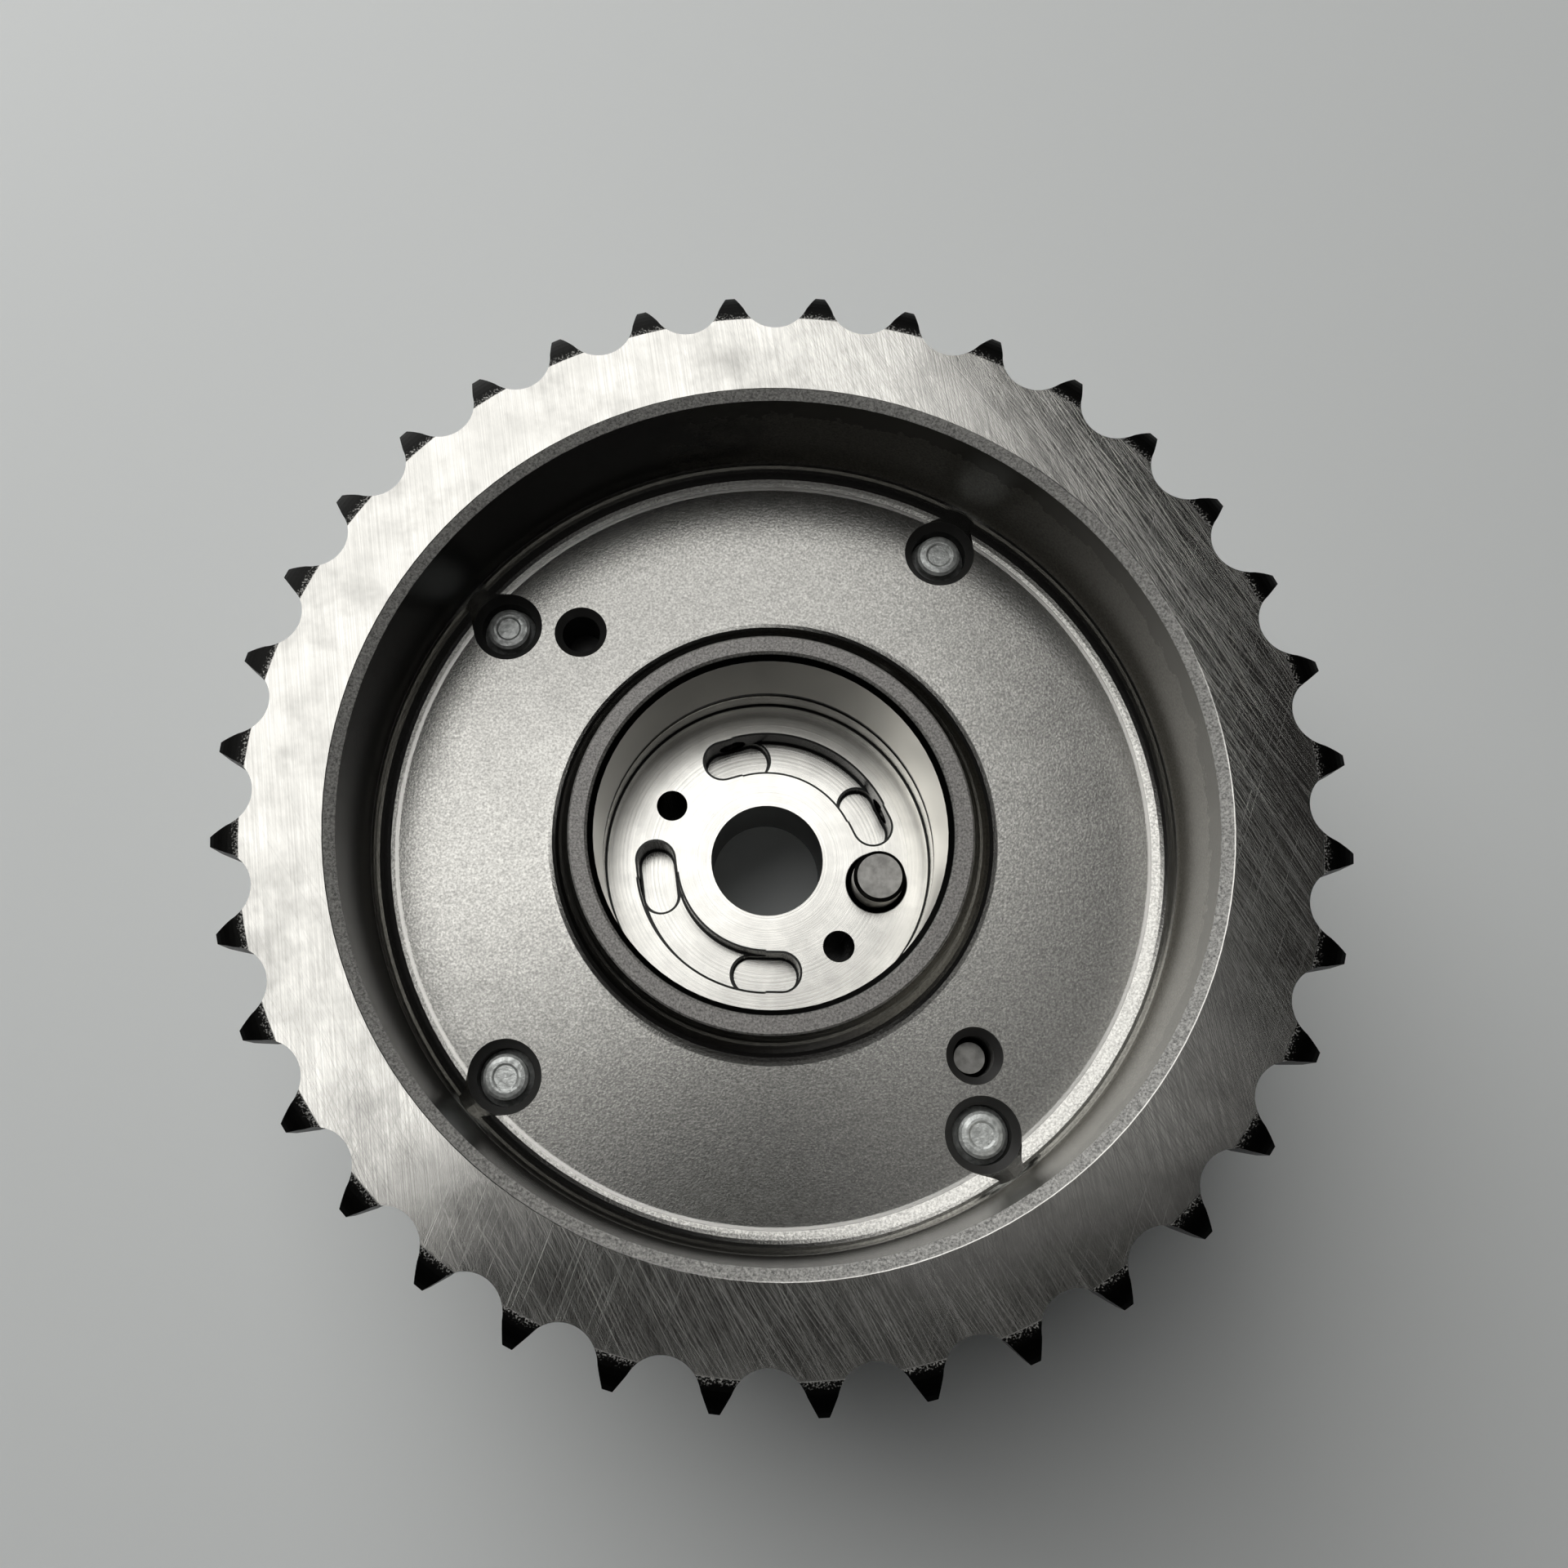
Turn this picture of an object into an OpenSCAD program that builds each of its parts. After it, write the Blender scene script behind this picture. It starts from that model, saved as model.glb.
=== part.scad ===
// Cam phaser for a chain-driven engine: a toothed cup bolted to a vane chamber and a front cover,
// with a vane rotor inside that turns through a small angle against the teeth.
// Sizes in mm. Z is the camshaft axis, the camshaft side is up, and the bolt heads stand on Z = 0.

/* [Chain teeth] */
// Number of teeth
tooth_count = 36; // [35:1:40]
// Chain pitch
chain_pitch = 8; // [7.9:0.05:8.4]
// Chain roller diameter
roller_d = 5; // [4.8:0.05:5.2]
// Thickness of the toothed ring
ring_t = 5; // [4:0.25:6.5]

/* [Cup] */
// Wall of the cup below the teeth
cup_wall = 3.5; // [3:0.1:4]
// Depth from the toothed face to the plate
recess_depth = 14.75; // [12:0.25:18]
// Thickness of the plate at the bottom of the cup
plate_t = 9.6; // [8.5:0.1:12]
// Height of the collar above the plate
collar_h = 2.75; // [2:0.25:4]
// Wall of the collar round the camshaft bore
collar_wall = 2.3; // [1.8:0.1:2.8]

/* [Camshaft seat] */
// Bore for the end of the camshaft
cam_bore_d = 32; // [31:0.1:32.5]
// Depth of the seat in the rotor
seat_depth = 3.4; // [2.8:0.1:3.8]
// Hole for the camshaft bolt
cam_bolt_d = 11.1; // [10:0.1:12]
// Locating dowel for the camshaft
cam_dowel_d = 5; // [4:0.1:5.2]
// Circle of the oil grooves, dowel and drillings
port_circle_d = 22; // [21.4:0.1:22.6]
// Width of the oil grooves
oil_groove_w = 3.9; // [3.2:0.1:4.2]

/* [Vane chamber] */
// Height of the chamber
chamber_h = 14.3; // [13.5:0.1:20]
// Wall of the chamber
chamber_wall = 4.4; // [4:0.1:5]
// Diameter of the rotor hub
hub_d = 40; // [39:0.25:41]
// Angle that the rotor turns through
phase_angle = 27; // [20:1:28]
// Angle taken up by each lobe of the chamber
lobe_angle = 31; // [30:0.5:32]
// Thickness of the front cover
cover_t = 5.5; // [5:0.1:7]
// Hole in the front cover for the camshaft bolt's head
cover_hole_d = 27; // [24:0.5:30]

/* [Bolts] */
// Bolt circle
bolt_circle_d = 64; // [63:0.25:65]
// Thread size of the cover bolts
bolt_d = 6; // [5.5:0.1:6.2]
// Angle between the two bolts beside the wide vane
wide_gap = 114.3; // [112:0.1:117]
// Height of the bolt heads
head_h = 5; // [4.5:0.25:6]

/* [Lock pin] */
// Lock pin diameter
lock_pin_d = 6; // [5.2:0.1:6.2]
// Travel of the lock pin
lock_travel = 3; // [2:0.1:3.4]

/* [Fits] */
// Running clearance on the radius
run_clear = 0.05; // [0.03:0.01:0.08]
// Clearance at each side of the rotor
side_clear = 0.05; // [0.03:0.01:0.1]
// Gap between the rotor and the chamber away from the seals
tip_gap = 0.3; // [0.2:0.05:0.5]

/* [Hidden] */
$fn = 96;

// Radii of the teeth and of the cup, all from the chain
pitch_r = chain_pitch / (2 * sin(180 / tooth_count));
root_r = pitch_r - roller_d / 2;
gap_r = 0.6 * roller_d;
tip_r = root_r + 0.72 * roller_d;
bevel_r = root_r + 0.18 * roller_d;
bevel_drop = 0.19 * ring_t;
bevel_arc_r = (pow(tip_r - bevel_r, 2) + pow(bevel_drop, 2)) / (2 * bevel_drop);
bevel_sweep = asin((tip_r - bevel_r) / bevel_arc_r);
flank = 30;
cup_r = root_r - 0.7 * roller_d;
recess_r = cup_r - cup_wall;

// Heights, from the bolt heads up
cover_z = head_h;
chamber_z = cover_z + cover_t;
plate_z = chamber_z + chamber_h;
plate_top = plate_z + plate_t;
collar_top = plate_top + collar_h;
face_z = plate_top + recess_depth;
ring_z = face_z - ring_t;

// Camshaft bore and collar
bore_r = cam_bore_d / 2;
bore_chamfer = 0.75;
collar_r = bore_r + collar_wall;
collar_edge = 0.2;

// Fillets from the plate up to the wall and to the collar, which is limited by the collar's height
plate_round = 2.3;
collar_round = min(2.4, collar_h - collar_edge - 0.1);

// Bolts: three equal spaces and one wide one, centred on wide_axis
wide_axis = 2.6;
bolt_pitch = (360 - wide_gap) / 3;
bolt_circle_r = bolt_circle_d / 2;
bolt_shank_r = bolt_d / 2 - run_clear;
bolt_thread_r = 0.42 * bolt_d;
bolt_clear_r = bolt_d / 2 + 0.3;
bolt_tip_r = 0.335 * bolt_d;
bolt_tip_z = plate_top - 0.5;
flange_r = 1.05 * bolt_d;
hex_flats = 10 / 6 * bolt_d;

// Locating holes in the plate, on opposite sides
locate_r = bolt_circle_r - 5.5;
locate_hole_r = 1.8;
locate_depth = 6.5;
locate_grip = 7.5;

// Chamber and rotor
chamber_r = cup_r - chamber_wall;
hub_r = hub_d / 2;
vane_r = chamber_r - tip_gap;
lobe_r = hub_r + tip_gap;
stop_gap = 0.3;
rotor_z = chamber_z + side_clear;
rotor_h = chamber_h - 2 * side_clear;
rotor_top = rotor_z + rotor_h;
seat_z = plate_z - seat_depth;
seat_r = bore_r + 0.1;
port_r = port_circle_d / 2;

// Oil grooves, each with a pocket at both ends
groove_ends = [[8.9, 124], [170.5, 287.5]];
groove_depth = 3.2;
pocket_l = 6.7;
pocket_w = oil_groove_w - 0.2;
pocket_depth = 4.6;
pocket_in = asin(pocket_l / 2 / port_r);
oil_hole_r = 1.4;
drilling_angles = [150.5, 310];
drilling_r = 1.55;
drilling_depth = 9;

// Camshaft dowel, which ends below the plain part of the camshaft bore
dowel_angle = 349;
dowel_r = cam_dowel_d / 2;
dowel_top = plate_z + bore_chamfer - 0.1;
dowel_hole_depth = 6;

// Seals and their springs
slot_w = 2;
slot_depth = 3.6;
seal_w = slot_w - 2 * run_clear;
seal_depth = slot_depth - 0.9;
seal_h = rotor_h;
leaf_t = 0.22;
leaf_bow = 0.55;
leaf_l = 0.8 * rotor_h;

// Lock pin in the wide vane, with its nose in the front cover
lock_r = lock_pin_d / 2;
lock_bore_r = lock_r + 1.4;
lock_bore_wall = 1.2;
lock_circle_r = vane_r - slot_depth - lock_bore_wall - lock_bore_r;
lock_shoulder_h = 4;
lock_shoulder_z = rotor_z + lock_shoulder_h;
lock_flange_h = 2.5;
lock_floor = 1.5;
retainer_t = 1.5;
retainer_z = rotor_top - retainer_t - 0.1;
lock_spring_r = lock_r - 1.25;
lock_wire_r = 0.3;
lock_turns = 7;
lock_steps = 3;

function bolt_angle(i) = wide_axis + wide_gap / 2 + i * bolt_pitch;
function chamber_angle(i) = (i == 3 ? wide_gap : bolt_pitch) - lobe_angle;
function vane_angle(i) = chamber_angle(i) - phase_angle - 2 * stop_gap;
function vane_start(i) = bolt_angle(i) + lobe_angle / 2 + stop_gap;
function vane_mid(i) = vane_start(i) + vane_angle(i) / 2;
function arc(r, z, rad, a0, a1, n) =
    [for (i = [0 : n]) let (a = a0 + (a1 - a0) * i / n) [r + rad * cos(a), z + rad * sin(a)]];

locate_angles = [bolt_angle(1) - 8.65, bolt_angle(3) + 7.45];
lock_angle = vane_mid(3);

// A ring sector between two radii, standing on z
module sector(r0, r1, z, h, a0, sweep) {
    rotate([0, 0, a0])
        rotate_extrude(angle = sweep)
            translate([r0, z])
                square([r1 - r0, h]);
}

// Places its children at a radius and an angle
module at(r, a, z = 0) {
    rotate([0, 0, a])
        translate([r, 0, z])
            children();
}

// The space between two teeth: a round seat that opens out along straight flanks
module tooth_gap() {
    near = gap_r - 0.04;
    x0 = root_r + gap_r - near * sin(flank);
    y0 = near * cos(flank);
    x1 = tip_r + 1.5;
    y1 = y0 + (x1 - x0) * tan(flank);
    translate([0, 0, ring_z - 1]) {
        translate([root_r + gap_r, 0, 0])
            cylinder(r = gap_r, h = ring_t + 2);
        linear_extrude(ring_t + 2)
            polygon([[x0, -y0], [x0, y0], [x1, y1], [x1, -y1]]);
    }
}

// Section of the sprocket: collar, plate, cup wall and toothed ring in one
module sprocket_section() {
    polygon(concat(
        [[bore_r + bore_chamfer, plate_z],
         [bore_r, plate_z + bore_chamfer],
         [bore_r, collar_top - bore_chamfer],
         [bore_r + bore_chamfer, collar_top],
         [collar_r - collar_edge, collar_top],
         [collar_r, collar_top - collar_edge]],
        arc(collar_r + collar_round, plate_top + collar_round, collar_round, 180, 270, 10),
        arc(recess_r - plate_round, plate_top + plate_round, plate_round, -90, 0, 10),
        [[recess_r, face_z - 0.5],
         [recess_r + 1, face_z]],
        arc(bevel_r, face_z - bevel_arc_r, bevel_arc_r, 90, 90 - bevel_sweep, 6),
        arc(bevel_r, ring_z + bevel_arc_r, bevel_arc_r, bevel_sweep - 90, -90, 6),
        [[cup_r + 0.8, ring_z],
         [cup_r, ring_z - 0.8],
         [cup_r, plate_z + 0.4],
         [cup_r - 0.4, plate_z]]));
}

// A hole through the plate with a countersunk mouth, which also cuts the fillet at the foot of the wall
module plate_hole(r, mouth_r, sink, z0) {
    over = 1;
    top_r = r + (mouth_r - r) * (sink + over) / sink;
    top_z = plate_top + plate_round + 1;
    rotate_extrude()
        polygon([[0, z0], [r, z0], [r, plate_top - sink], [top_r, plate_top + over],
            [top_r, top_z], [0, top_z]]);
}

module sprocket() {
    color([0.62, 0.62, 0.61])
        difference() {
            rotate_extrude()
                sprocket_section();
            for (i = [0 : tooth_count - 1])
                rotate([0, 0, i * 360 / tooth_count])
                    tooth_gap();
            for (i = [0 : 3])
                at(bolt_circle_r, bolt_angle(i))
                    plate_hole(bolt_thread_r + run_clear, 0.55 * bolt_d, 0.8, plate_z - 1);
            at(locate_r, locate_angles[0])
                plate_hole(locate_hole_r, locate_hole_r + 0.7, 0.7, plate_top - locate_depth);
            at(locate_r, locate_angles[1])
                plate_hole(locate_hole_r, locate_hole_r + 0.7, 0.7, plate_z - 1);
        }
}

module stator() {
    color([0.70, 0.70, 0.71])
        difference() {
            rotate_extrude()
                polygon([[lobe_r, chamber_z], [cup_r - 0.7, chamber_z], [cup_r - 0.3, chamber_z + 0.4],
                    [cup_r - 0.3, plate_z - 0.4], [cup_r - 0.7, plate_z], [lobe_r, plate_z]]);
            for (i = [0 : 3])
                sector(lobe_r - 1, chamber_r, chamber_z - 1, chamber_h + 2, bolt_angle(i) + lobe_angle / 2,
                    chamber_angle(i));
            for (i = [0 : 3]) {
                at(bolt_circle_r, bolt_angle(i), chamber_z - 1)
                    cylinder(r = bolt_clear_r, h = chamber_h + 2);
                at(0, bolt_angle(i), chamber_z - 1)
                    translate([lobe_r - 1, -slot_w / 2, 0])
                        cube([slot_depth + 1, slot_w, chamber_h + 2]);
            }
            at(locate_r, locate_angles[1], plate_z - locate_grip - 0.5)
                cylinder(r = locate_hole_r, h = locate_grip + 1.5);
        }
}

// The stepped groove that the lock pin's nose drops into, narrower and shallower towards full travel
module lock_groove() {
    step = phase_angle / lock_steps;
    for (k = [0 : lock_steps - 1]) {
        depth = lock_travel * (1 - k / lock_steps) + 0.3;
        half_w = lock_r + 0.3 + 0.1 * (lock_steps - k);
        lead = asin(half_w / (lock_circle_r - half_w));
        sector(lock_circle_r - half_w, lock_circle_r + half_w, chamber_z - depth, depth + 1,
            lock_angle + k * step - lead, step + 2 * lead);
    }
}

module front_cover() {
    color([0.60, 0.60, 0.60])
        difference() {
            rotate_extrude()
                polygon([[cover_hole_d / 2 + 0.8, cover_z], [cup_r - 1.4, cover_z],
                    [cup_r - 0.6, cover_z + 0.8], [cup_r - 0.6, chamber_z - 0.4], [cup_r - 1, chamber_z],
                    [cover_hole_d / 2, chamber_z], [cover_hole_d / 2, cover_z + 0.8]]);
            for (i = [0 : 3])
                at(bolt_circle_r, bolt_angle(i), cover_z - 1)
                    cylinder(r = bolt_clear_r, h = cover_t + 2);
            lock_groove();
        }
}

// Flange bolt, head down, with its plain point up in the plate's threaded hole
module cover_bolt() {
    flange_t = 0.3 * head_h;
    difference() {
        union() {
            intersection() {
                cylinder(r = hex_flats / 2 / cos(30), h = head_h - flange_t, $fn = 6);
                rotate_extrude()
                    polygon([[0, 0], [hex_flats / 2 - 0.2, 0], [hex_flats / 2 + 1, 0.7],
                        [hex_flats / 2 + 1, head_h], [0, head_h]]);
            }
            rotate_extrude()
                polygon([[0, head_h - flange_t - 0.2], [flange_r - 0.9, head_h - flange_t - 0.2],
                    [flange_r, head_h - 0.8], [flange_r, head_h], [bolt_shank_r, head_h],
                    [bolt_shank_r, plate_z - 0.8], [bolt_thread_r, plate_z - 0.3],
                    [bolt_thread_r, bolt_tip_z - 2], [bolt_tip_r, bolt_tip_z - 1.5],
                    [bolt_tip_r, bolt_tip_z - 0.3], [bolt_tip_r - 0.25, bolt_tip_z - 0.08],
                    [0.7 * bolt_tip_r, bolt_tip_z], [0.6 * bolt_tip_r, bolt_tip_z],
                    [0.5 * bolt_tip_r, bolt_tip_z - 0.1], [0, bolt_tip_z - 0.1]]);
        }
        translate([0, 0, -1])
            cylinder(r = 0.45 * bolt_d, h = 1.4);
    }
}

module cover_bolts() {
    color([0.72, 0.72, 0.70])
        for (i = [0 : 3])
            at(bolt_circle_r, bolt_angle(i))
                cover_bolt();
}

module locating_pin() {
    pin_r = locate_hole_r - 0.02;
    z0 = plate_z - locate_grip;
    z1 = plate_top - 3.4;
    color([0.50, 0.50, 0.50])
        at(locate_r, locate_angles[1])
            rotate_extrude()
                polygon([[0, z0], [pin_r - 0.4, z0], [pin_r, z0 + 0.4], [pin_r, z1 - 0.4],
                    [pin_r - 0.4, z1], [0, z1]]);
}

// Seal bar in a lobe, resting on the rotor hub
module stator_seal(i) {
    color([0.24, 0.23, 0.22])
        difference() {
            at(0, bolt_angle(i), rotor_z)
                translate([hub_r - 1, -seal_w / 2, 0])
                    cube([tip_gap + seal_depth + 1, seal_w, seal_h]);
            translate([0, 0, rotor_z - 1])
                cylinder(r = hub_r + run_clear, h = rotor_h + 2);
        }
}

// Bowed leaf spring, its back on the slot floor and its ends on the seal: x runs towards the seal
module leaf() {
    w = seal_w - 0.2;
    n = 10;
    back = [for (i = [0 : n]) let (t = 2 * i / n - 1) [leaf_bow * t * t, t * leaf_l / 2]];
    front = [for (i = [n : -1 : 0]) let (t = 2 * i / n - 1) [leaf_bow * t * t + leaf_t, t * leaf_l / 2]];
    translate([0, w / 2, 0])
        rotate([90, 0, 0])
            linear_extrude(w)
                polygon(concat(back, front));
}

module stator_spring(i) {
    color([0.55, 0.56, 0.58])
        at(0, bolt_angle(i), rotor_z + rotor_h / 2)
            translate([lobe_r + slot_depth - 0.04, 0, 0])
                mirror([1, 0, 0])
                    leaf();
}

module vane_seal(i) {
    color([0.24, 0.23, 0.22])
        intersection() {
            at(0, vane_mid(i), rotor_z)
                translate([vane_r - seal_depth, -seal_w / 2, 0])
                    cube([seal_depth + tip_gap + 1, seal_w, seal_h]);
            translate([0, 0, rotor_z - 1])
                cylinder(r = chamber_r - run_clear, h = rotor_h + 2);
        }
}

module vane_spring(i) {
    color([0.55, 0.56, 0.58])
        at(0, vane_mid(i), rotor_z + rotor_h / 2)
            translate([vane_r - slot_depth + 0.04, 0, 0])
                leaf();
}

// Curved oil groove in the rotor's seat, running between two deeper pockets with an oil hole in each
module oil_groove(ends) {
    a0 = ends[0] + pocket_in;
    a1 = ends[1] - pocket_in;
    r0 = port_r - oil_groove_w / 2;
    sector(r0, r0 + oil_groove_w, seat_z - groove_depth, groove_depth + 1, a0, a1 - a0);
    for (a = [a0, a1])
        at(port_r, a, seat_z - pocket_depth) {
            half = (pocket_l - pocket_w) / 2;
            for (y = [-half, half])
                translate([0, y, 0])
                    cylinder(r = pocket_w / 2, h = pocket_depth + 1);
            translate([-pocket_w / 2, -half, 0])
                cube([pocket_w, 2 * half, pocket_depth + 1]);
            translate([0, 0, pocket_depth - groove_depth + 0.2])
                rotate([0, 90, 0])
                    cylinder(r = oil_hole_r, h = hub_r - port_r + 1);
        }
}

module rotor() {
    color([0.78, 0.78, 0.77])
        difference() {
            translate([0, 0, rotor_z])
                cylinder(r = vane_r, h = rotor_h);
            for (i = [0 : 3])
                sector(hub_r, vane_r + 1, rotor_z - 1, rotor_h + 2, vane_start(i) + vane_angle(i),
                    lobe_angle + phase_angle + 2 * stop_gap);
            translate([0, 0, seat_z])
                cylinder(r = seat_r, h = seat_depth + 1);
            translate([0, 0, rotor_top - 0.4])
                cylinder(r1 = seat_r, r2 = seat_r + 0.5, h = 0.5);
            translate([0, 0, rotor_z - 1])
                cylinder(r = cam_bolt_d / 2, h = rotor_h + 2);
            translate([0, 0, rotor_z - 0.1])
                cylinder(r1 = cam_bolt_d / 2 + 0.6, r2 = cam_bolt_d / 2, h = 0.6);
            for (ends = groove_ends)
                oil_groove(ends);
            for (a = drilling_angles)
                at(port_r, a, seat_z - drilling_depth)
                    cylinder(r = drilling_r, h = drilling_depth + 1);
            at(port_r, dowel_angle, seat_z - dowel_hole_depth) {
                cylinder(r = dowel_r, h = dowel_hole_depth + 1);
                translate([0, 0, dowel_hole_depth - 0.5])
                    cylinder(r1 = dowel_r, r2 = dowel_r + 0.6, h = 0.6);
            }
            for (i = [0 : 3])
                at(0, vane_mid(i), rotor_z - 1)
                    translate([vane_r - slot_depth, -slot_w / 2, 0])
                        cube([slot_depth + 1, slot_w, rotor_h + 2]);
            at(lock_circle_r, lock_angle, rotor_z - 1)
                cylinder(r = lock_r + run_clear, h = rotor_h);
            at(lock_circle_r, lock_angle, lock_shoulder_z)
                cylinder(r = lock_bore_r, h = rotor_h);
        }
}

// Dowel pressed in the rotor: a touch thinner in its hole, with a relief below the free end
module cam_dowel() {
    held_r = dowel_r - 0.03;
    relief_r = dowel_r - 0.35;
    z0 = seat_z - dowel_hole_depth + 0.3;
    color([0.42, 0.42, 0.42])
        at(port_r, dowel_angle)
            rotate_extrude()
                polygon([[0, z0], [held_r - 0.4, z0], [held_r, z0 + 0.4], [held_r, seat_z - 0.9],
                    [relief_r, seat_z - 0.7], [relief_r, seat_z], [dowel_r, seat_z],
                    [dowel_r, dowel_top - 0.35], [dowel_r - 0.35, dowel_top], [0, dowel_top]]);
}

// Hollow lock pin with a flange that stops it on the shoulder of its bore
module lock_pin() {
    tip_z = chamber_z - lock_travel;
    flange_z = lock_shoulder_z + side_clear;
    flange_top = flange_z + lock_flange_h;
    bore = lock_spring_r + lock_wire_r + 0.15;
    color([0.48, 0.48, 0.47])
        at(lock_circle_r, lock_angle)
            rotate_extrude()
                polygon([[0, tip_z], [lock_r - 0.6, tip_z], [lock_r, tip_z + 0.6], [lock_r, flange_z],
                    [lock_bore_r - run_clear, flange_z], [lock_bore_r - run_clear, flange_top],
                    [bore, flange_top], [bore, tip_z + lock_floor], [0, tip_z + lock_floor]]);
}

// Round wire wound between the pin's floor and the retainer
module lock_spring() {
    z0 = chamber_z - lock_travel + lock_floor + 0.02;
    len = retainer_z - 0.02 - z0;
    lead = len / lock_turns;
    color([0.55, 0.56, 0.58])
        at(lock_circle_r, lock_angle, z0)
            linear_extrude(height = len, twist = -360 * lock_turns, slices = lock_turns * 20, $fn = 12)
                polygon([for (k = [0 : 11])
                    let (r = lock_spring_r + lock_wire_r * cos(30 * k),
                        a = lock_wire_r * sin(30 * k) * 360 / lead)
                    [r * cos(a), r * sin(a)]]);
}

module lock_retainer() {
    color([0.55, 0.55, 0.55])
        at(lock_circle_r, lock_angle, retainer_z)
            difference() {
                cylinder(r = lock_bore_r - 0.02, h = retainer_t);
                translate([0, 0, -1])
                    cylinder(r = 0.8, h = retainer_t + 2);
            }
}

module stator_seal_1() stator_seal(0);
module stator_seal_2() stator_seal(1);
module stator_seal_3() stator_seal(2);
module stator_seal_4() stator_seal(3);
module stator_spring_1() stator_spring(0);
module stator_spring_2() stator_spring(1);
module stator_spring_3() stator_spring(2);
module stator_spring_4() stator_spring(3);
module vane_seal_1() vane_seal(0);
module vane_seal_2() vane_seal(1);
module vane_seal_3() vane_seal(2);
module vane_seal_4() vane_seal(3);
module vane_spring_1() vane_spring(0);
module vane_spring_2() vane_spring(1);
module vane_spring_3() vane_spring(2);
module vane_spring_4() vane_spring(3);

sprocket();
stator();
front_cover();
cover_bolts();
locating_pin();
stator_seal_1();
stator_seal_2();
stator_seal_3();
stator_seal_4();
stator_spring_1();
stator_spring_2();
stator_spring_3();
stator_spring_4();
rotor();
cam_dowel();
vane_seal_1();
vane_seal_2();
vane_seal_3();
vane_seal_4();
vane_spring_1();
vane_spring_2();
vane_spring_3();
vane_spring_4();
lock_pin();
lock_spring();
lock_retainer();
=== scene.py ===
# Cam phaser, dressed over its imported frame. Lengths in the materials are in millimetres.
import math

import bmesh
import bpy
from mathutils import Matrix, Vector


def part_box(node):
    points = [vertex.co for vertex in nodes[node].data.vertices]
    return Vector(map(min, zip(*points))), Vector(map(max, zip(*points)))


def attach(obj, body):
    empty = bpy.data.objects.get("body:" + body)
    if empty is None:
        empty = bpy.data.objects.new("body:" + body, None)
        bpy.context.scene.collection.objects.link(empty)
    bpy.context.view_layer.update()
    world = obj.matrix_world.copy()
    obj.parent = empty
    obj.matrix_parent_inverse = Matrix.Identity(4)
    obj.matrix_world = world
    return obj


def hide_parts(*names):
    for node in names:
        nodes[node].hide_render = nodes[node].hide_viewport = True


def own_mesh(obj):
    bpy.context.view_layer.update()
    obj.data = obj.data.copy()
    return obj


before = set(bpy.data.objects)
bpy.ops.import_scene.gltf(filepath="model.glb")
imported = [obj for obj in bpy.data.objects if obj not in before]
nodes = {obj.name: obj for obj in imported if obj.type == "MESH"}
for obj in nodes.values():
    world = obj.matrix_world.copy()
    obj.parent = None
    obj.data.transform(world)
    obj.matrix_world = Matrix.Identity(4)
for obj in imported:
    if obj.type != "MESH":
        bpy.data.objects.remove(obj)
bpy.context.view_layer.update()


# Toothed cup: one piece of sintered steel, pressed and hardened. The chain side is ground flat and bright,
# the plate in the recess is bare and grainy, the tooth bevels keep a black oxide, the recess wall is painted
# brownish grey on its lit side and near black on its shaded side, and the camshaft bore is turned.
def add(tree, kind, inputs=None, **settings):
    made = tree.nodes.new(kind)
    for name, value in settings.items():
        setattr(made, name, value)
    for key, value in (inputs or {}).items():
        if isinstance(value, bpy.types.NodeSocket):
            tree.links.new(value, made.inputs[key])
        else:
            made.inputs[key].default_value = value
    return made


def reckon(tree, operation, a, b=0.0):
    return add(tree, "ShaderNodeMath", {0: a, 1: b}, operation=operation).outputs[0]


def both(tree, mask, *others):
    for other in others:
        mask = reckon(tree, "MULTIPLY", mask, other)
    return mask


def either(tree, mask, *others):
    for other in others:
        mask = reckon(tree, "MAXIMUM", mask, other)
    return mask


def above(tree, value, limit, soft=0.03):
    ends = {"Value": value, "From Min": limit - soft, "From Max": limit + soft}
    return add(tree, "ShaderNodeMapRange", ends, interpolation_type="SMOOTHSTEP").outputs[0]


def below(tree, value, limit, soft=0.03):
    ends = {"Value": value, "From Min": limit - soft, "From Max": limit + soft, "To Min": 1.0, "To Max": 0.0}
    return add(tree, "ShaderNodeMapRange", ends, interpolation_type="SMOOTHSTEP").outputs[0]


def near(tree, value, target, half, soft):
    off = reckon(tree, "ABSOLUTE", reckon(tree, "SUBTRACT", value, target))
    return below(tree, off, half, soft)


def layer(tree, mask, under, over):
    return add(tree, "ShaderNodeMix", {0: mask, 6: under, 7: over}, data_type="RGBA").outputs[2]


def level(tree, mask, under, over):
    return add(tree, "ShaderNodeMix", {0: mask, 2: under, 3: over}, data_type="FLOAT").outputs[0]


def grain(tree, where, scale, detail=3.0, rough=0.55, low=0.35, high=0.65):
    spots = add(tree, "ShaderNodeTexNoise",
                {"Vector": where, "Scale": scale, "Detail": detail, "Roughness": rough}).outputs["Fac"]
    return add(tree, "ShaderNodeMapRange", {"Value": spots, "From Min": low, "From Max": high}).outputs[0]


def place(tree):
    spot = add(tree, "ShaderNodeTexCoord").outputs["Object"]
    mm = add(tree, "ShaderNodeVectorMath", {0: spot, "Scale": 1000.0}, operation="SCALE").outputs[0]
    axes = add(tree, "ShaderNodeSeparateXYZ", {0: mm}).outputs
    flat = add(tree, "ShaderNodeCombineXYZ", {0: axes[0], 1: axes[1]}).outputs[0]
    radius = add(tree, "ShaderNodeVectorMath", {0: flat}, operation="LENGTH").outputs["Value"]
    return mm, radius, axes[2]


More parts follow.
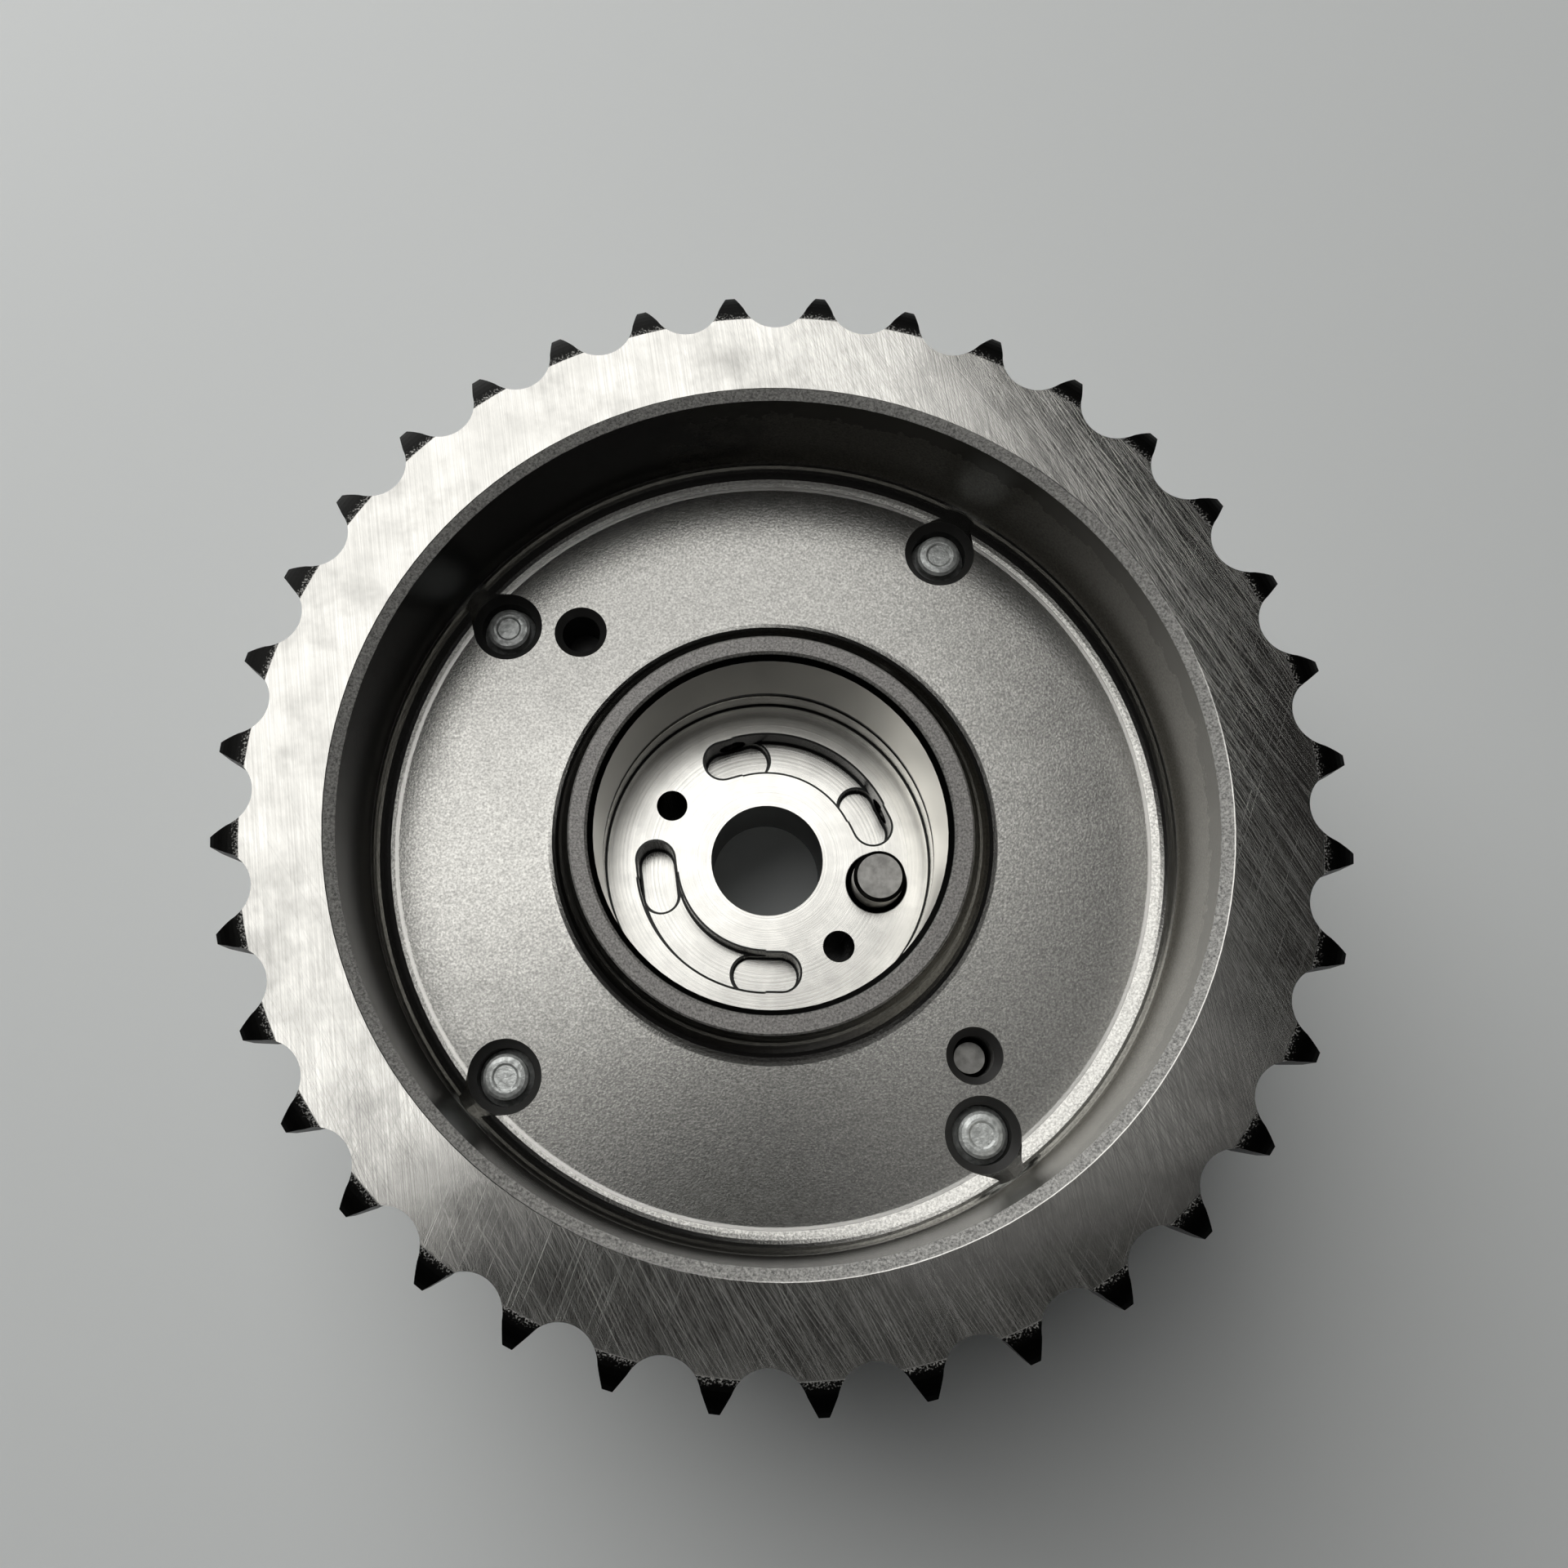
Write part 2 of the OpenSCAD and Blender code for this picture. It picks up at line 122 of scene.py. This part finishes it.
def scratches(tree, where, way, fine, long, low, high):
    turned = add(tree, "ShaderNodeVectorRotate", {"Vector": where, "Angle": math.radians(-way)}).outputs[0]
    drawn = (1.0 / long, fine, fine)
    laid = add(tree, "ShaderNodeVectorMath", {0: turned, 1: drawn}, operation="MULTIPLY").outputs[0]
    return grain(tree, laid, 1.0, detail=2.0, rough=0.6, low=low, high=high)


def rings(tree, distance, fine):
    line = add(tree, "ShaderNodeCombineXYZ", {0: distance}).outputs[0]
    return grain(tree, line, fine, rough=0.6)


def bump(tree, height, depth, strength):
    return add(tree, "ShaderNodeBump", {"Height": height, "Distance": depth, "Strength": strength}).outputs[0]


def new_finish(name, metallic=1.0):
    made = bpy.data.materials.new(name)
    made.use_nodes = True
    shader = made.node_tree.nodes["Principled BSDF"]
    shader.inputs["Metallic"].default_value = metallic
    return made, made.node_tree, shader


def set_finish(tree, shader, colour, roughness, normal):
    tree.links.new(colour, shader.inputs["Base Color"])
    tree.links.new(roughness, shader.inputs["Roughness"])
    tree.links.new(normal, shader.inputs["Normal"])


def dress(material, *names):
    for name in names:
        nodes[name].data.materials.clear()
        nodes[name].data.materials.append(material)


FACE_Z = 1000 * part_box("sprocket")[1][2]
RIM_CHAMFER = 0.55
PLATE_Z = FACE_Z - 14.75
PLATE_ROUND = 2.3
RECESS_R = 36.395
COLLAR_Z = PLATE_Z + 2.75
COLLAR_R = 18.3
COLLAR_ROUND = 2.4
BORE_R = 16.0
BORE_FOOT = PLATE_Z - 8.85
BORE_CHAMFER = 0.76
BEVEL_R = 44.3
BEVEL_FOOT = FACE_Z - 3.15
TOOTH_R = 42.9
TOOTH_FOOT = FACE_Z - 6.15
STAIN_Z = FACE_Z - 2.35
STAIN_WAVE = 2.4
# Edges of the painted shade on the plate and of the wall's painted lit side
SHADE_DRIFT = 8.0
SHADE_BACK_Y = 14.0
SHADE_FRONT_Y = -8.0
SHADE_FRONT_X = 8.0
LIT_WALL_X = 14.0
LIT_WALL_LEAN = 0.35
GRINDING_WAY = 99.0
STROKE_WAY = 118.0
CROSS_WAY = 70.0
HAIR_WAY = 127.0

SINTERED = (0.536, 0.525, 0.491, 1)
SINTERED_PIT = (0.077, 0.076, 0.071, 1)
PLATE_GREY = (0.510, 0.501, 0.468, 1)
PLATE_PIT = (0.230, 0.226, 0.211, 1)
# Colour of the painted highlight line on the plate's outer fillet
PLATE_HIGHLIGHT = (0.618, 0.606, 0.567, 1)
# How far the painted shade darkens the plate
PLATE_SHADE = 0.70
COLLAR_GREY = (0.475, 0.455, 0.428, 1)
COLLAR_PIT = (0.104, 0.1, 0.094, 1)
GROUND = (0.551, 0.54, 0.506, 1)
GROUND_STAIN = (0.417, 0.409, 0.383, 1)
GROUND_LINES = 0.22
GROUND_SMUDGE = 0.35
WALL = (0.254, 0.24, 0.204, 1)
WALL_PIT = (0.119, 0.112, 0.096, 1)
# Painted shade colour of the wall's unlit side
WALL_SHADED = (0.022, 0.021, 0.019, 1)
WALL_STAIN = (0.101, 0.095, 0.078, 1)
# Painted shade colour of the holes sunk below the plate
SUNK_SHADE = (0.04, 0.039, 0.037, 1)
OXIDE = (0.010, 0.010, 0.0095, 1)
TURNED = (0.762, 0.747, 0.699, 1)

sintered_steel, tree, shader = new_finish("sintered_steel")
where, radius, height = place(tree)
across_x, along_y, _ = add(tree, "ShaderNodeSeparateXYZ", {0: where}).outputs
speckle = grain(tree, where, 4.6, rough=0.75, low=0.31, high=0.69)
mottle = grain(tree, where, 0.9, rough=0.6, low=0.3, high=0.7)
cloud = grain(tree, where, 0.22, detail=4.0, rough=0.6, low=0.26, high=0.62)
ragged = grain(tree, where, 6.0, detail=2.0, rough=0.6, low=0.3, high=0.7)
wave = grain(tree, where, 0.45, detail=4.0, rough=0.65, low=0.3, high=0.7)
smudge = grain(tree, where, 0.13, detail=4.0, rough=0.65, low=0.50, high=0.70)

# Painted shade on the plate towards its back and its front edge, and painted light and shade on the recess
# wall: brownish grey on its lit side, near black on its shaded side
drift = reckon(tree, "MULTIPLY", cloud, SHADE_DRIFT)
drifted_y = reckon(tree, "ADD", along_y, drift)
shade_back = above(tree, drifted_y, SHADE_BACK_Y, 12.0)
shade_front = both(tree, below(tree, drifted_y, SHADE_FRONT_Y, 12.0), below(tree, across_x, SHADE_FRONT_X, 9.0))
plate_shade = either(tree, shade_back, shade_front)
# The recess wall's lit side, painted lighter than its side in shade
leaning_x = reckon(tree, "ADD", across_x, reckon(tree, "MULTIPLY", along_y, LIT_WALL_LEAN))
lit_wall_side = above(tree, reckon(tree, "ADD", leaning_x, drift), LIT_WALL_X, 9.0)

# Where each surface of the cup lies
ground = both(tree, above(tree, height, FACE_Z - 0.04, 0.02), below(tree, radius, BEVEL_R + 0.05, 0.05))
wall = both(tree, near(tree, radius, RECESS_R, 0.12, 0.05), below(tree, height, FACE_Z - RIM_CHAMFER, 0.04))
floor = both(tree, above(tree, radius, COLLAR_R - 0.05, 0.04), below(tree, radius, RECESS_R - 0.12, 0.05),
             below(tree, height, PLATE_Z + 3.0, 0.1))
plate = both(tree, floor, above(tree, height, PLATE_Z - 0.03, 0.02))
# Painted shade: the holes sunk below the plate
sunk_shade = both(tree, floor, below(tree, height, PLATE_Z - 0.03, 0.02))
outer_fillet = above(tree, radius, RECESS_R - PLATE_ROUND + 0.1, 0.2)
inner_fillet = below(tree, radius, COLLAR_R + COLLAR_ROUND - 0.1, 0.2)
fillet = both(tree, plate, either(tree, outer_fillet, inner_fillet))
# Painted highlight: a bright line along the plate's outer fillet
highlight_line = both(tree, plate, near(tree, radius, RECESS_R - PLATE_ROUND + 0.18, 0.16, 0.10))
collar = both(tree, above(tree, height, COLLAR_Z - 0.06, 0.03), below(tree, radius, COLLAR_R, 0.05))
lip = both(tree, above(tree, height, COLLAR_Z - BORE_CHAMFER - 0.04, 0.03),
           below(tree, radius, BORE_R + 0.5, 0.05))
bore = both(tree, below(tree, radius, BORE_R + 0.04, 0.02), below(tree, height, COLLAR_Z - BORE_CHAMFER, 0.02))
turned_faces = either(tree, wall, bore)

# Black oxide on the teeth, rubbed bare along the bevel's edge, and in the bore's lip and foot
tooth = both(tree, above(tree, radius, TOOTH_R, 0.3), above(tree, height, TOOTH_FOOT, 0.4))
bevel_ends = {"From Min": BEVEL_R - 0.3, "From Max": BEVEL_R + 1.5, "To Min": 1.0, "To Max": 0.0}
bevel_fade = add(tree, "ShaderNodeMapRange", {"Value": radius, **bevel_ends}).outputs[0]
rubbed = above(tree, reckon(tree, "MULTIPLY", ragged, bevel_fade), 0.46, 0.12)
bare = both(tree, rubbed, above(tree, height, BEVEL_FOOT, 1.0))
black_tooth = both(tree, tooth, reckon(tree, "SUBTRACT", 1.0, either(tree, bare, ground)))
seam = both(tree, bore, below(tree, height, BORE_FOOT + 0.4, 0.06))
oxide = either(tree, black_tooth, lip, seam)
waved_z = reckon(tree, "ADD", height, reckon(tree, "MULTIPLY", wave, STAIN_WAVE))
stain = above(tree, waved_z, STAIN_Z, 0.1)

# Grinding lines and handling scratches on the bright face
lines = scratches(tree, where, GRINDING_WAY, 7.0, 12.0, 0.34, 0.66)
strokes = scratches(tree, where, STROKE_WAY, 12.0, 26.0, 0.54, 0.68)
cross = scratches(tree, where, CROSS_WAY, 12.0, 18.0, 0.62, 0.76)
hairs = scratches(tree, where, HAIR_WAY, 12.0, 30.0, 0.56, 0.70)
scored = either(tree, strokes, cross, hairs)

colour = layer(tree, speckle, SINTERED_PIT, SINTERED)
lining = layer(tree, stain, layer(tree, speckle, WALL_PIT, WALL), WALL_STAIN)
# Painted light and shade on the wall: near black where in shade, stained brownish grey where lit
colour = layer(tree, wall, colour, layer(tree, lit_wall_side, WALL_SHADED, lining))
sheet = layer(tree, speckle, PLATE_PIT, PLATE_GREY)
# Painted shade: the plate darkened towards the oxide colour near its back and its front edge
sheet = layer(tree, plate_shade, sheet, layer(tree, PLATE_SHADE, OXIDE, sheet))
# The plate's grey, with its painted highlight line
colour = layer(tree, plate, colour, layer(tree, highlight_line, sheet, PLATE_HIGHLIGHT))
# Painted shade: near black in the holes below the plate
colour = layer(tree, sunk_shade, colour, SUNK_SHADE)
colour = layer(tree, collar, colour, layer(tree, speckle, COLLAR_PIT, COLLAR_GREY))
face = layer(tree, cloud, GROUND_STAIN, GROUND)
face = layer(tree, reckon(tree, "MULTIPLY", lines, GROUND_LINES), face, SINTERED_PIT)
face = layer(tree, reckon(tree, "MULTIPLY", smudge, GROUND_SMUDGE), face, SINTERED_PIT)
colour = layer(tree, ground, colour, face)
colour = layer(tree, bore, colour, TURNED)
colour = layer(tree, oxide, colour, OXIDE)

polished = either(tree, plate, ground, bore, oxide)
# The painted highlight line is half metallic
metallic = level(tree, highlight_line, level(tree, polished, 0.2, 1.0), 0.5)
tree.links.new(metallic, shader.inputs["Metallic"])

rough = level(tree, speckle, 0.52, 0.36)
rough = level(tree, wall, rough, 0.26)
plate_rough = reckon(tree, "ADD", level(tree, speckle, 0.23, 0.15), level(tree, mottle, 0.04, 0.0))
rough = level(tree, plate, rough, plate_rough)
rough = level(tree, fillet, rough, level(tree, speckle, 0.18, 0.14))
rough = level(tree, collar, rough, 0.46)
rough = level(tree, ground, rough, level(tree, scored, level(tree, lines, 0.13, 0.18), 0.25))
rough = level(tree, bore, rough, 0.32)

marks = reckon(tree, "SUBTRACT", reckon(tree, "MULTIPLY", lines, 0.5), scored)
dents = level(tree, turned_faces, level(tree, ground, speckle, marks), rings(tree, height, 5.0))
strength = level(tree, turned_faces, level(tree, ground, 0.24, 0.09), 0.06)
set_finish(tree, shader, colour, rough, bump(tree, dents, depth=0.00002, strength=strength))
dress(sintered_steel, "sprocket")


# Stator: the ring that holds the four vane chambers, cast in aluminium alloy and turned on its outside.
# It is clamped between the toothed cup and the front cover.
ALLOY = (0.62, 0.62, 0.63, 1)
ALLOY_DULL = (0.48, 0.48, 0.485, 1)
stator_alloy, tree, shader = new_finish("stator_alloy")
where, radius, height = place(tree)
turn_lines = rings(tree, height, 6.0)
set_finish(tree, shader, layer(tree, grain(tree, where, 2.4), ALLOY_DULL, ALLOY),
           level(tree, turn_lines, 0.32, 0.46), bump(tree, turn_lines, depth=0.00003, strength=0.3))
dress(stator_alloy, "stator")


# Front cover: a plain steel disc that closes the chambers, turned on its face, with clouded mill scale.
# The four bolts hold it and the stator to the cup.
COVER = (0.50, 0.50, 0.495, 1)
COVER_DULL = (0.36, 0.36, 0.355, 1)
cover_steel, tree, shader = new_finish("cover_steel")
where, radius, height = place(tree)
turn_lines = rings(tree, radius, 4.0)
set_finish(tree, shader, layer(tree, grain(tree, where, 0.2), COVER_DULL, COVER),
           level(tree, turn_lines, 0.28, 0.44), bump(tree, turn_lines, depth=0.00003, strength=0.35))
dress(cover_steel, "front_cover")


# Four cover bolts: cold headed steel with zinc plating, screwed in from the front.
# Their ends show in the countersunk holes of the plate.
ZINC = (0.79, 0.81, 0.78, 1)
ZINC_DULL = (0.44, 0.455, 0.435, 1)
zinc_bolt, tree, shader = new_finish("zinc_bolt", metallic=0.45)
where, radius, height = place(tree)
speckle = grain(tree, where, 1.8)
set_finish(tree, shader, layer(tree, speckle, ZINC_DULL, ZINC), level(tree, speckle, 0.42, 0.28),
           bump(tree, grain(tree, where, 5.0), depth=0.00003, strength=0.4))
dress(zinc_bolt, "cover_bolts")


# Locating pin, camshaft dowel, lock pin and the lock's retainer: hardened steel, ground round and pressed
# or slid into their holes. Their ends are dull grey, and their broken edges are painted black as shade.
def facing_up(tree):
    normal = add(tree, "ShaderNodeTexCoord").outputs["Normal"]
    return add(tree, "ShaderNodeSeparateXYZ", {0: normal}).outputs[2]


PIN = (0.319, 0.313, 0.293, 1)
PIN_DULL = (0.232, 0.227, 0.213, 1)
# Painted shade colour of the pins' broken edges
PIN_EDGE_SHADE = (0.02, 0.02, 0.019, 1)
EDGE_SLANT = 0.7
pin_steel, tree, shader = new_finish("pin_steel")
where, radius, height = place(tree)
speckle = grain(tree, where, 1.2, detail=4.0, rough=0.6)
# Painted shade: the slanted broken edges are painted near black
shaded_edge = near(tree, facing_up(tree), EDGE_SLANT, 0.25, 0.05)
set_finish(tree, shader, layer(tree, shaded_edge, layer(tree, speckle, PIN_DULL, PIN), PIN_EDGE_SHADE),
           level(tree, speckle, 0.46, 0.34), bump(tree, rings(tree, height, 8.0), depth=0.00002, strength=0.25))
dress(pin_steel, "locating_pin", "cam_dowel", "lock_pin", "lock_retainer")


# Rotor: turned and milled from one blank, its seat face bright with fine turning rings. Painted shade darkens
# the walls and rims of the oil grooves and pockets, the deep drillings, the dowel's gap and the seat's corner
# and brim.
def turned_by(tree, where, angle):
    turned = add(tree, "ShaderNodeVectorRotate", {"Vector": where, "Angle": math.radians(-angle)}).outputs[0]
    x, y, _ = add(tree, "ShaderNodeSeparateXYZ", {0: turned}).outputs
    return x, y


def flat_length(tree, x, y):
    flat = add(tree, "ShaderNodeCombineXYZ", {0: x, 1: y}).outputs[0]
    return add(tree, "ShaderNodeVectorMath", {0: flat}, operation="LENGTH").outputs["Value"]


def groove_rim(tree, where, radius, start, end):
    x, y = turned_by(tree, where, (start + end) / 2)
    angle = reckon(tree, "ABSOLUTE", reckon(tree, "ARCTAN2", y, x))
    across = reckon(tree, "ABSOLUTE", reckon(tree, "SUBTRACT", radius, PORT_R))
    return both(tree, near(tree, across, GROOVE_W / 2, RIM / 2, 0.03),
                below(tree, angle, math.radians((end - start) / 2), 0.01))


def pocket_rim(tree, where, angle):
    x, y = turned_by(tree, where, angle)
    past_end = reckon(tree, "SUBTRACT", reckon(tree, "ABSOLUTE", y), POCKET_HALF)
    along = reckon(tree, "MAXIMUM", past_end, 0.0)
    away = flat_length(tree, reckon(tree, "SUBTRACT", x, PORT_R), along)
    return near(tree, away, POCKET_R, RIM / 2, 0.03)


ROTOR = (0.731, 0.717, 0.671, 1)
ROTOR_DULL = (0.618, 0.606, 0.567, 1)
# Near black painted shade in the rotor's hollows
ROTOR_SHADE = (0.025, 0.025, 0.024, 1)
SEAT_Z = PLATE_Z - 13.0
SEAT_R = 16.1
BRIM_Z = SEAT_Z + 2.8
BRIM_TOP = SEAT_Z + 3.6
PORT_R = 11.0
PORTED_R = 15.0
PORTED_FOOT = SEAT_Z - 10.6
DRILLING_DEEP = 5.0
GROOVE_W = 3.9
GROOVE_ENDS = ((8.9, 124.0), (170.5, 287.5))
POCKET_R = 1.85
POCKET_HALF = 1.5
DOWEL_ANGLE = 349.0
DOWEL_R = 2.5
DOWEL_RIM = 0.55
RIM = 0.42
rotor_alloy, tree, shader = new_finish("rotor_alloy")
where, radius, height = place(tree)
turn_lines = rings(tree, radius, 5.0)

pocket_in = math.degrees(math.asin((POCKET_HALF + POCKET_R) / PORT_R))
rims = []
for start, end in GROOVE_ENDS:
    first, last = start + pocket_in, end - pocket_in
    rims += [groove_rim(tree, where, radius, first, last), pocket_rim(tree, where, first),
             pocket_rim(tree, where, last)]
x, y = turned_by(tree, where, DOWEL_ANGLE)
from_dowel = flat_length(tree, reckon(tree, "SUBTRACT", x, PORT_R), y)
dowel_gap = below(tree, from_dowel, DOWEL_R + DOWEL_RIM, 0.06)
seat_side = both(tree, above(tree, height, PORTED_FOOT, 0.1), below(tree, radius, PORTED_R, 0.1))
ported = both(tree, below(tree, height, SEAT_Z - 0.02, 0.02), seat_side)
walls = both(tree, ported, below(tree, facing_up(tree), 0.7, 0.1))
deep = both(tree, ported, below(tree, height, SEAT_Z - DRILLING_DEEP, 0.3))
# Painted shade in the grooves' walls and rims, the deep drillings and the gap round the dowel
shaded_hollows = both(tree, either(tree, walls, deep, dowel_gap, *rims), seat_side)
corner = both(tree, near(tree, radius, SEAT_R, 0.2, 0.04), below(tree, height, SEAT_Z + 0.4, 0.05))
brim = both(tree, near(tree, radius, SEAT_R + 0.35, 0.33, 0.02), above(tree, height, BRIM_Z, 0.05),
            below(tree, height, BRIM_TOP, 0.1))
# The seat's corner and brim are painted dark as shade too
rotor_shade = either(tree, shaded_hollows, corner, brim)
bright = layer(tree, grain(tree, where, 0.35), ROTOR_DULL, ROTOR)
set_finish(tree, shader, layer(tree, rotor_shade, bright, ROTOR_SHADE), level(tree, turn_lines, 0.20, 0.29),
           bump(tree, turn_lines, depth=0.00001, strength=0.15))
dress(rotor_alloy, "rotor")


# Tip seals: moulded bars of dark polymer, one in each lobe of the stator and one in each vane.
# They sit loose in their slots, pushed out by the leaf springs.
SEAL = (0.030, 0.028, 0.026, 1)
SEAL_WORN = (0.055, 0.052, 0.048, 1)
seal_polymer, tree, shader = new_finish("seal_polymer", metallic=0.0)
where, radius, height = place(tree)
speckle = grain(tree, where, 3.5)
set_finish(tree, shader, layer(tree, speckle, SEAL, SEAL_WORN), level(tree, speckle, 0.45, 0.6),
           bump(tree, speckle, depth=0.00002, strength=0.3))
dress(seal_polymer, *[f"{row}_seal_{k}" for row in ("stator", "vane") for k in range(1, 5)])


# Leaf springs: bowed, of blued strip, one behind each seal.
# Each is held only by the piece that it pushes.
SPRING = (0.50, 0.51, 0.53, 1)
SPRING_BLUED = (0.30, 0.31, 0.34, 1)
spring_steel, tree, shader = new_finish("spring_steel")
where, radius, height = place(tree)
speckle = grain(tree, where, 2.0)
set_finish(tree, shader, layer(tree, speckle, SPRING_BLUED, SPRING), level(tree, speckle, 0.24, 0.36),
           bump(tree, grain(tree, where, 6.0), depth=0.00001, strength=0.3))
dress(spring_steel, *[f"{row}_spring_{k}" for row in ("stator", "vane") for k in range(1, 5)])


# Lock pin spring: round drawn wire, wound to seven turns with closed ends, between the lock pin's floor and
# the retainer. It stands loose in the pin's bore, and the pin shortens it by its travel as it draws back.
# Its sizes are in metres.
LOCK_TURNS = 7
CLOSED_TURNS = 0.7
WIRE_R = 0.0003
WIRE_SIDES = 12
TURN_STEPS = 24
spring_low, spring_high = (Vector(corner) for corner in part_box("lock_spring"))
spring_length = spring_high.z - spring_low.z
coil_r = (spring_high.x - spring_low.x) / 2 - WIRE_R
coil_rise = spring_length - 2 * WIRE_R
open_turns = LOCK_TURNS - 2 * CLOSED_TURNS
slope = coil_rise / (2 * math.pi * coil_r * open_turns)
around = [2 * math.pi * k / WIRE_SIDES for k in range(WIRE_SIDES)]

wire = bmesh.new()
loops = []
for step in range(LOCK_TURNS * TURN_STEPS + 1):
    turn = 2 * math.pi * step / TURN_STEPS
    wound = min(max((step / TURN_STEPS - CLOSED_TURNS) / open_turns, 0.0), 1.0)
    outward = Vector((math.cos(turn), math.sin(turn), 0.0))
    along = Vector((-math.sin(turn), math.cos(turn), slope if 0 < wound < 1 else 0.0)).normalized()
    upright = outward.cross(along)
    middle = (spring_low + spring_high) / 2 + coil_r * outward
    middle.z = spring_low.z + WIRE_R + coil_rise * wound
    loops.append([wire.verts.new(middle + WIRE_R * (math.cos(a) * outward + math.sin(a) * upright))
                  for a in around])
for lower, upper in zip(loops, loops[1:]):
    for k in range(WIRE_SIDES):
        wire.faces.new((lower[k - 1], lower[k], upper[k], upper[k - 1]))
wire.faces.new(loops[0])
wire.faces.new(loops[-1])
bmesh.ops.recalc_face_normals(wire, faces=wire.faces)
coil_mesh = bpy.data.meshes.new("lock_pin_coil")
wire.to_mesh(coil_mesh)
wire.free()
coil_mesh.shade_smooth()
coil_mesh.materials.append(spring_steel)
coil = bpy.data.objects.new("lock_pin_coil", coil_mesh)
bpy.context.scene.collection.objects.link(coil)
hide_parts("lock_spring")
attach(coil, "rotor")
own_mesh(coil)


# Table: a plain pale grey sheet, painted, on which the part stands on its bolt heads.
# It is only the stage, and isn't part of the object.
TABLE_SIZE = 40.0
TABLE_DROP = 0.0002
TABLE_GREY = (0.85, 0.87, 0.855, 1)
bpy.ops.mesh.primitive_plane_add(size=TABLE_SIZE, location=(0.0, 0.0, -TABLE_DROP))
table = bpy.context.object
table.name = "table"
table_grey, tree, shader = new_finish("table_grey", metallic=0.0)
shader.inputs["Base Color"].default_value = TABLE_GREY
shader.inputs["Roughness"].default_value = 0.6
table.data.materials.append(table_grey)


# Studio light: one large soft window at the back left, and two dim ones overhead, at the right and at the
# front, in a dark room with a faint glow at table height.
LAMP_AWAY = 0.8
ROOM_GLOW = (0.14, 0.143, 0.14, 1)
ROOM_DARK = (0.012, 0.012, 0.012, 1)
GLOW_FULL = -0.15
GLOW_GONE = 0.20


def soft_lamp(name, azimuth, elevation, width, depth, glow):
    data = bpy.data.lights.new(name, "AREA")
    data.shape = "RECTANGLE"
    data.size, data.size_y = width, depth
    data.energy = glow * math.pi * width * depth
    lamp = bpy.data.objects.new(name, data)
    a, e = math.radians(azimuth), math.radians(elevation)
    lamp.location = LAMP_AWAY * Vector((math.cos(a) * math.cos(e), math.sin(a) * math.cos(e), math.sin(e)))
    lamp.rotation_mode = "QUATERNION"
    lamp.rotation_quaternion = lamp.location.to_track_quat("Z", "Y")
    lamp.visible_camera = False
    bpy.context.scene.collection.objects.link(lamp)


soft_lamp("window", azimuth=124.0, elevation=41.0, width=0.74, depth=1.56, glow=2.10)
soft_lamp("ceiling", azimuth=22.0, elevation=80.0, width=0.22, depth=0.22, glow=0.42)
soft_lamp("front", azimuth=270.0, elevation=74.0, width=0.50, depth=0.10, glow=0.38)
world = bpy.data.worlds.new("room")
world.use_nodes = True
tree = world.node_tree
way = add(tree, "ShaderNodeTexCoord").outputs["Generated"]
upward = add(tree, "ShaderNodeSeparateXYZ", {0: way}).outputs[2]
room = add(tree, "ShaderNodeMapRange", {"Value": upward, "From Min": GLOW_FULL, "From Max": GLOW_GONE},
           interpolation_type="SMOOTHSTEP").outputs[0]
tree.links.new(layer(tree, room, ROOM_GLOW, ROOM_DARK), tree.nodes["Background"].inputs["Color"])
bpy.context.scene.world = world
bpy.context.scene.view_settings.view_transform = "Standard"


# Camera: hand height above the part and a little in front of it, at the photograph's angle.
# The shift sets the part off the middle of the frame as there.
lens = bpy.data.cameras.new("camera")
lens.sensor_width = 36.0
lens.lens = 35.252
lens.shift_x = 0.0698
lens.shift_y = -0.0459
lens.clip_start = 0.01
camera = bpy.data.objects.new("camera", lens)
camera.location = (-0.002361, -0.027810, 0.172677)
camera.rotation_euler = (math.radians(15.926), math.radians(2.353), math.radians(1.294))
bpy.context.scene.collection.objects.link(camera)
bpy.context.scene.camera = camera
